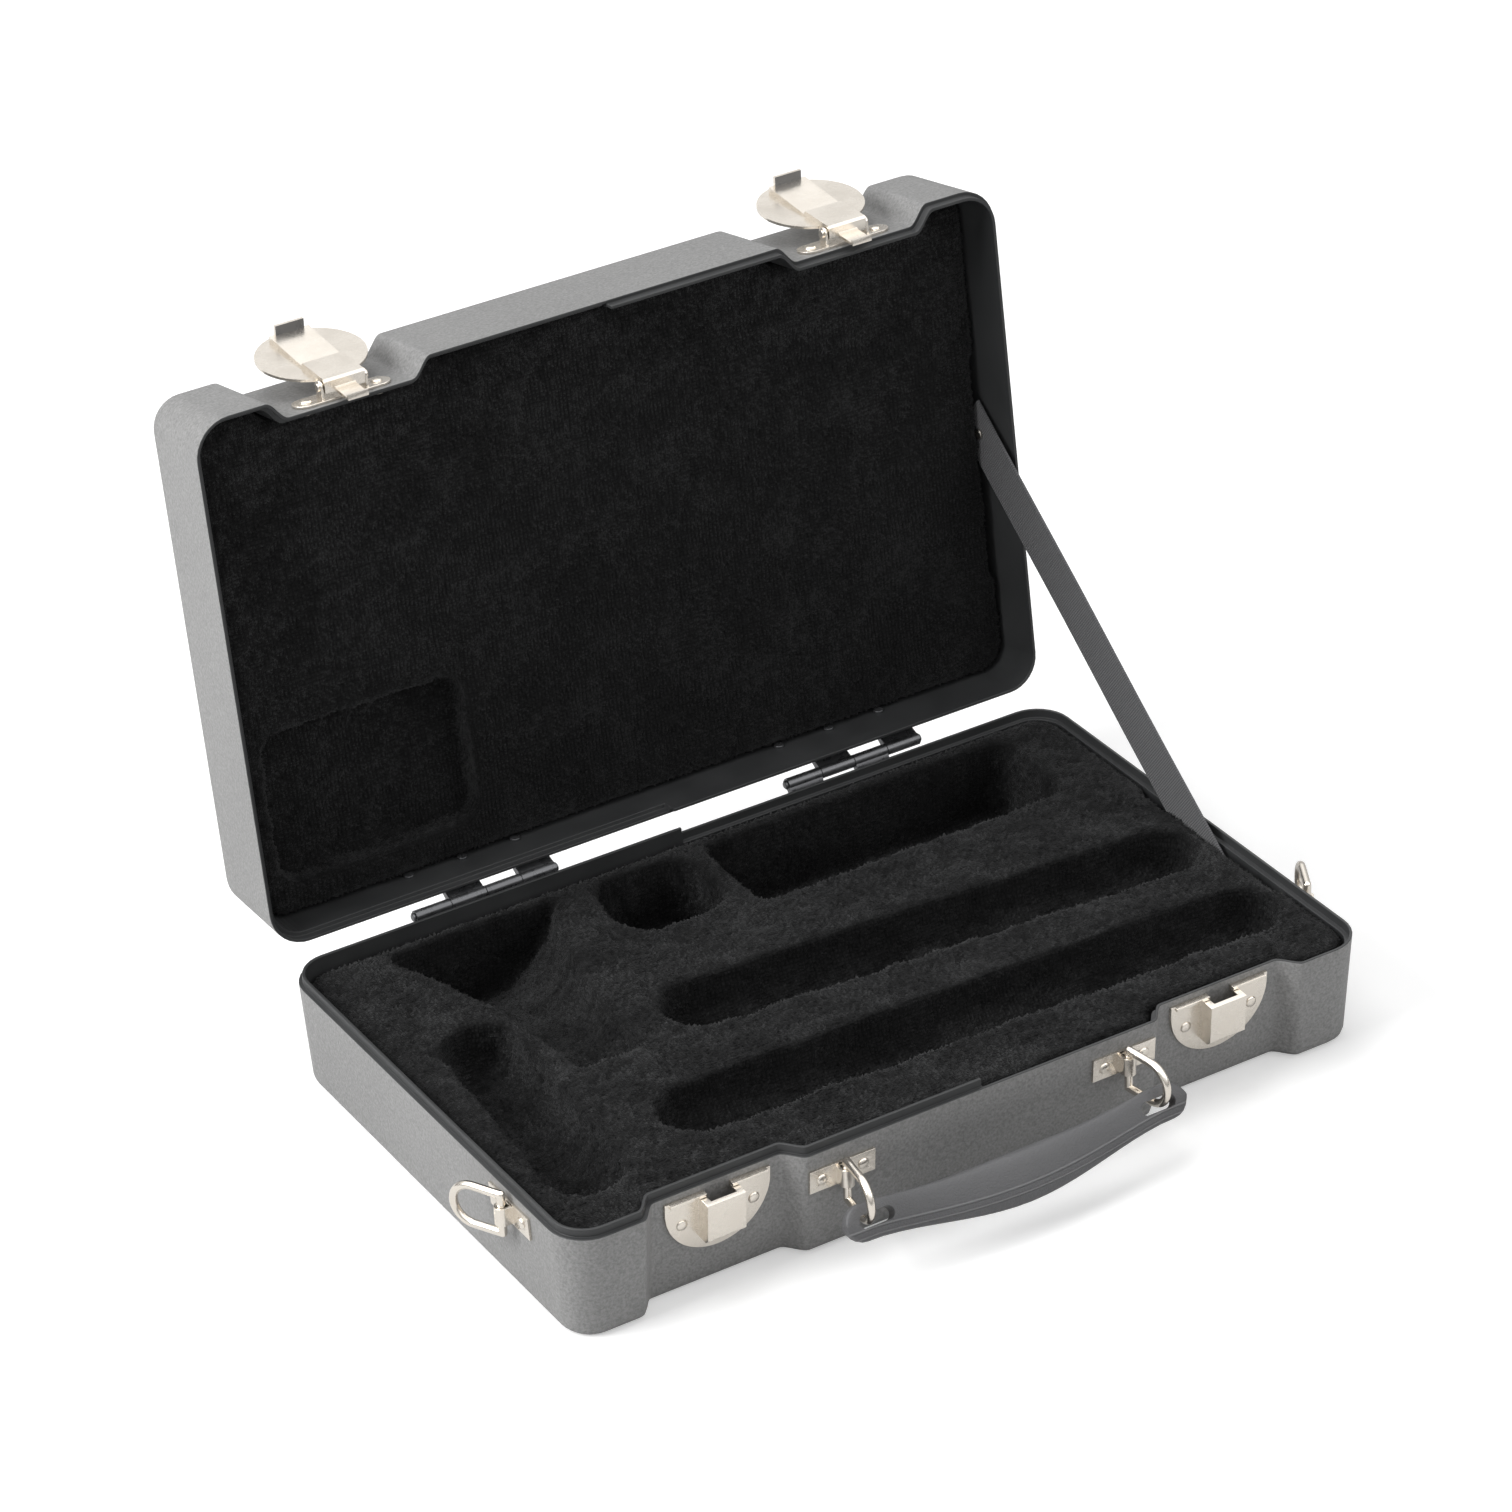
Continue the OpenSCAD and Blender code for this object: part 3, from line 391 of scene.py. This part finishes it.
def break_edges(shape, crease, offset, segments=2, material=-1):
    """Bevels every edge that is sharper than the crease, given in degrees."""
    sharp = [e for e in shape.edges
             if len(e.link_faces) == 2 and e.calc_face_angle(0) > math.radians(crease)]
    bmesh.ops.bevel(
        shape, geom=sharp, affect="EDGES", offset=offset, offset_type="OFFSET", segments=segments,
        profile=0.5, clamp_overlap=True, material=material)


def dressed(node, bevel, segments=2, crease=PRESSED_CREASE, finish=None):
    """The CAD form with its sharp edges broken, as pressed and moulded parts have them."""
    shape = solid_copy(node)
    bmesh.ops.dissolve_limit(
        shape, angle_limit=math.radians(0.6), verts=shape.verts, edges=shape.edges,
        use_dissolve_boundaries=False)
    break_edges(shape, crease, bevel, segments)
    bmesh.ops.triangulate(shape, faces=[f for f in shape.faces if len(f.verts) > 4])
    piece = make_piece(node + "_dressed", shape, finish or FINISHES[SLOT_OF[node]])
    shade(piece, 50)
    return stand_for(piece, node)


# The lever's strip, measured from the pivot: along the lever to its raised end and to its lip, and out
# from the lid
LEVER_TILT = math.radians(98 - 90 - 8)
STRIP_START = 30 * MM
STRIP_TOP = 2.0 * MM
STRIP_RISE = 1.5 * MM
LIP_START = 36 * MM


def latch_lever(side):
    """A lever whose raised strip tilts up towards its thumb lip; the lip's face is given dark steel as a
    painted dark reflection.
    """
    shape = solid_copy("latch_lever_" + side)
    pin_low, pin_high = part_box("latch_pin_" + side)
    pivot = (pin_low + pin_high) / 2
    out = Vector((0, math.sin(LEVER_TILT), math.cos(LEVER_TILT)))
    along = Vector((0, math.cos(LEVER_TILT), -math.sin(LEVER_TILT)))
    for vert in shape.verts:
        reach = (vert.co - pivot).dot(along)
        height = (vert.co - pivot).dot(out)
        if reach > STRIP_START and height > STRIP_TOP - 0.2 * MM:
            vert.co += out * STRIP_RISE
    shape.normal_update()
    # The lip's faces that look towards the camera take the dark hinge steel: a painted dark reflection on the
    # nickel
    for face in shape.faces:
        middle = face.calc_center_median() - pivot
        on_lip = middle.dot(along) > LIP_START and middle.dot(out) > STRIP_TOP + 0.8 * MM
        if on_lip and face.normal.y < -0.5:
            face.material_index = 1
    break_edges(shape, PRESSED_CREASE, SHEET_BEVEL)
    piece = make_piece("latch_lever_pressed_" + side, shape, FINISHES["nickel"])
    piece.data.materials.append(FINISHES["hinge_steel"])
    shade(piece, 50)
    return stand_for(piece, "latch_lever_" + side)


def skin_from(face, crease):
    """The faces reached from one face without crossing a sharp edge."""
    reached = {face}
    queue = [face]
    while queue:
        for edge in queue.pop().edges:
            if len(edge.link_faces) != 2 or edge.calc_face_angle(0) > crease:
                continue
            for other in edge.link_faces:
                if other not in reached:
                    reached.add(other)
                    queue.append(other)
    return reached


def moulded_half(node):
    """A shell: grained outside, smooth on its rim and inside, where its plastic is made darker as painted
    shade, its edges broken.
    """
    shape = solid_copy(node)
    for face in shape.faces:
        face.material_index = 1
    outside = walls_outside(shape)
    for face in skin_from(outside, math.radians(45)):
        face.material_index = 0
    break_edges(shape, 50, MOULDED_BEVEL, material=1)
    piece = make_piece(node + "_moulded", shape, FINISHES["shell"])
    piece.data.materials.append(SMOOTH_PAINTED_SHADE)
    shade(piece, 42)
    return stand_for(piece, node)


def walls_outside(shape):
    """The largest face whose plane has the whole half on one side: a triangle of the outer floor."""
    corners = [v.co for v in shape.verts][::7]
    for face in sorted(shape.faces, key=lambda f: -f.calc_area()):
        middle = face.calc_center_median()
        if all((corner - middle).dot(face.normal) < 0.01 * MM for corner in corners):
            return face
    raise RuntimeError("no outer floor")


VOXEL = 1.5 * MM
PLUMP_FROM = 31 * MM
PLUMP_RAMP = 5 * MM
# Nearer to a wall than the first gap the skin doesn't ruffle, and nearer than the last it isn't seen
RUFFLE_GAP = 1.5 * MM
RUFFLE_FADE = 3 * MM
HIDDEN_GAP = 1.4 * MM
CLEARANCE = 0.5 * MM


def fractal(place, size, octaves=3):
    """Noise around zero with features of the given size."""
    return noise.fractal(place / size, 1.0, 2.0, octaves)


def walls_tree(node):
    """A search tree over a CAD node's surface."""
    shape = solid_copy(node)
    tree = BVHTree.FromBMesh(shape)
    shape.free()
    return tree


def remeshed(nodes):
    """One even skin round all the given CAD nodes."""
    whole = bmesh.new()
    for node in nodes:
        whole.from_mesh(frame["nodes"][node].data)
    bmesh.ops.remove_doubles(whole, verts=whole.verts, dist=2e-6)
    piece = make_piece("lining_core", whole, FINISHES["plush"])
    remesh = piece.modifiers.new("remesh", "REMESH")
    remesh.mode = "VOXEL"
    remesh.voxel_size = VOXEL
    even = bpy.data.meshes.new_from_object(piece.evaluated_get(bpy.context.evaluated_depsgraph_get()))
    shape = bmesh.new()
    shape.from_mesh(even)
    core = piece.data
    bpy.data.objects.remove(piece)
    bpy.data.meshes.remove(core)
    bpy.data.meshes.remove(even)
    return shape


def plush_skin(name, nodes, shell, brushed, seed, plump=0.0):
    """A lining: one rolled skin whose visible side is drawn out into short, brushed tufts.

    plump lifts the upper surface, where the pile of the real lining stands up to the rim.
    """
    shape = remeshed(nodes)
    for vert in shape.verts:
        rise = min(1, max(0, (vert.co.z - PLUMP_FROM) / PLUMP_RAMP))
        vert.co.z += plump * rise * rise * (3 - 2 * rise)
    for _ in range(3):
        bmesh.ops.smooth_vert(
            shape, verts=shape.verts, factor=0.5, use_axis_x=True, use_axis_y=True, use_axis_z=True)
    shape.normal_update()
    walls = walls_tree(shell)
    shift = Vector((seed, seed * 0.7, seed * 0.3))
    depth = {vert: walls.find_nearest(vert.co)[3] for vert in shape.verts}
    moves = []
    for vert in shape.verts:
        room = min(1, max(0, (depth[vert] - RUFFLE_GAP) / RUFFLE_FADE))
        ruffle = (0.8 * fractal(vert.co + shift, 0.013) + 0.5 * fractal(vert.co + shift, 0.005, 2)) * room
        moves.append(vert.normal * (ruffle * MM - CLEARANCE * (1 - room)))
    for vert, move in zip(shape.verts, moves):
        vert.co += move
    shape.normal_update()
    shown = [f for f in shape.faces if not all(depth[v] < HIDDEN_GAP for v in f.verts)]
    # The tips are marked so that the plush finish can paint shade at the roots
    tip_layer = shape.verts.layers.float.new("tip")
    tufts = bmesh.ops.poke(shape, faces=shown, center_mode="MEAN")["verts"]
    shape.normal_update()
    chance = random.Random(seed)
    for vert in tufts:
        here = vert.co + shift
        sway = Vector((fractal(here, 0.02), fractal(here + Vector((7, 1, 3)), 0.02), fractal(here, 0.031)))
        stray = Vector((chance.uniform(-1, 1), chance.uniform(-1, 1), chance.uniform(-1, 1)))
        lean = brushed + sway * 0.8 + stray * 0.6
        lean -= vert.normal * lean.dot(vert.normal)
        aim = (vert.normal * 0.75 + lean).normalized()
        length = VOXEL * chance.uniform(0.5, 1.15)
        reach = walls.ray_cast(vert.co, aim, length + CLEARANCE)[3]
        if reach is not None:
            length = max(0, reach - CLEARANCE)
        vert.co += aim * length
        vert[tip_layer] = 1.0
    piece = make_piece(name, shape, FINISHES["plush"])
    for face in piece.data.polygons:
        face.use_smooth = True
    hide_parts(*nodes)
    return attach(piece, BODY_OF[nodes[0]])


def stay_strap():
    """Ribbon from the base to the lid, with thicker woven edges."""
    low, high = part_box("stay_strap")
    middle = (low + high) / 2
    thickness = high.x - low.x
    width = 0.020
    length = ((high.y - low.y) - width * math.sin(STRAP_SLOPE)) / math.cos(STRAP_SLOPE)
    shape = bmesh.new()
    bmesh.ops.create_cube(shape, size=1)
    bmesh.ops.scale(shape, vec=(thickness, length, width), verts=shape.verts)
    along = [e for e in shape.edges if abs((e.verts[0].co - e.verts[1].co).y) > length / 2]
    bmesh.ops.subdivide_edges(shape, edges=along, cuts=90, use_grid_fill=True)
    across = [e for e in shape.edges if abs((e.verts[0].co - e.verts[1].co).z) > width / 2]
    bmesh.ops.subdivide_edges(shape, edges=across, cuts=9, use_grid_fill=True)
    for vert in shape.verts:
        edge = abs(vert.co.z) / (width / 2)
        vert.co.x *= 0.8 + 0.2 * (1 if edge > 0.75 else 0)
        vert.co.x += 0.12 * MM * math.sin(vert.co.y * 55) * edge
    turn = Matrix.Translation(middle) @ Matrix.Rotation(STRAP_SLOPE, 4, "X")
    bmesh.ops.transform(shape, matrix=turn, verts=shape.verts)
    piece = make_piece("stay_strap_ribbon", shape, FINISHES["ribbon"])
    smooth_by_angle(piece, 40)
    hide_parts("stay_strap")
    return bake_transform(piece)


for side in ("left", "right"):
    for stem in ("handle_bracket_", "end_ring_bracket_", "latch_bracket_"):
        dressed(stem + side, BRACKET_BEVEL)
    dressed("keeper_plate_" + side, MOULDED_BEVEL)
    latch_lever(side)
    for stem in ("base_hinge_leaf_", "lid_hinge_leaf_"):
        dressed(stem + side, SHEET_BEVEL)
    dressed("hinge_pin_" + side, WIRE_BEVEL, 1)
    for stem in ("latch_pin_", "handle_ring_", "end_ring_"):
        dressed(stem + side, WIRE_BEVEL, 1, finish=POLISHED)
for node in ("base_hinge_rivets", "keeper_rivets", "handle_bracket_rivets", "end_ring_rivets",
             "strap_rivet_base", "lid_hinge_rivets", "latch_bracket_rivets", "strap_rivet_lid"):
    dressed(node, RIVET_BEVEL, 1)
dressed("handle_grip", GRIP_BEVEL, 3, GRIP_CREASE)
moulded_half("base_shell")
moulded_half("lid_shell")
plush_skin("base_plush", [n for n in SLOT_OF if n.startswith("base_lining")], "base_shell",
           Vector((0.25, -0.35, 0)), 3, 1.6 * MM)
plush_skin("lid_plush", ["lid_lining"], "lid_shell", Vector((0.2, 0, -0.6)), 7)
stay_strap()


FLOOR_REACH = 1.5
FLOOR_LIFT = 0.37


def make_floor():
    """A pale floor that the camera sees white, with the object's shadow left on it."""
    shape = bmesh.new()
    bmesh.ops.create_grid(shape, x_segments=1, y_segments=1, size=FLOOR_REACH)
    mesh = bpy.data.meshes.new("floor")
    shape.to_mesh(mesh)
    shape.free()
    floor = bpy.data.objects.new("floor", mesh)
    bpy.context.scene.collection.objects.link(floor)
    material = bpy.data.materials.new("floor")
    material.use_nodes = True
    mesh.materials.append(material)
    nodes = Nodes(material.node_tree)
    camera_ray = nodes.node("ShaderNodeLightPath", {}, {}, "Is Camera Ray")
    paper = nodes.node("ShaderNodeBsdfDiffuse", {}, {"Color": (0.8, 0.8, 0.8, 1)})
    glow = nodes.node("ShaderNodeEmission", {}, {"Strength": camera_ray * FLOOR_LIFT})
    both = nodes.node("ShaderNodeAddShader", {}, (paper, glow))
    nodes.tree.links.new(both.socket, nodes.tree.nodes["Material Output"].inputs["Surface"])
    nodes.tree.nodes.remove(nodes.tree.nodes["Principled BSDF"])


AMBIENT = 0.5
# How bright gloss finds the surround against a ray's upward part: it climbs from the horizon to
# overhead, and steps up once more for the levers' raised strips
HORIZON = 0.25
OVERHEAD = 1.05
CLIMB_TO = 0.52
STEP = 0.8
STEP_FROM = 0.54
STEP_TO = 0.62


def make_surround():
    """A world that is white to the camera, even to matt surfaces and graded to gloss."""
    world = bpy.data.worlds.new("surround")
    bpy.context.scene.world = world
    world.use_nodes = True
    nodes = Nodes(world.node_tree)
    background = nodes.tree.nodes["Background"]
    background.inputs["Color"].default_value = (1, 1, 1, 1)
    up = nodes.axis("Z", nodes.node("ShaderNodeTexCoord", {}, {}, "Generated"))
    climb = nodes.stretch(up, 0.0, CLIMB_TO, HORIZON, OVERHEAD)
    graded = climb + nodes.stretch(up, STEP_FROM, STEP_TO, 0.0, STEP)
    glossy_ray = nodes.node("ShaderNodeLightPath", {}, {}, "Is Glossy Ray")
    camera_ray = nodes.node("ShaderNodeLightPath", {}, {}, "Is Camera Ray")
    lit = nodes.node("ShaderNodeMix", {}, {"Factor": glossy_ray, "A": AMBIENT, "B": graded}, "Result")
    shown = nodes.node("ShaderNodeMix", {}, {"Factor": camera_ray, "A": lit, "B": 1.0}, "Result")
    nodes.tree.links.new(shown.socket, background.inputs["Strength"])


# Each lamp's name, place, width and height, in metres, and its power in watts
LAMPS = (
    ("key_lamp", (-1.7, 0.3, 1.2), (1.2, 1.2), 39),
    ("fill_lamp", (1.5, -1.5, 1.2), (1.4, 1.0), 7),
    ("top_lamp", (-0.2, 0.6, 2.2), (1.6, 1.0), 16),
)
LAMP_AIM = Vector((0, 0.05, 0.08))


def make_lamps():
    for name, place, size, power in LAMPS:
        data = bpy.data.lights.new(name, "AREA")
        data.shape = "RECTANGLE"
        data.size, data.size_y = size
        data.energy = power
        lamp = bpy.data.objects.new(name, data)
        lamp.location = place
        lamp.rotation_euler = (LAMP_AIM - Vector(place)).to_track_quat("-Z", "Y").to_euler()
        bpy.context.scene.collection.objects.link(lamp)


make_floor()
make_surround()
make_lamps()
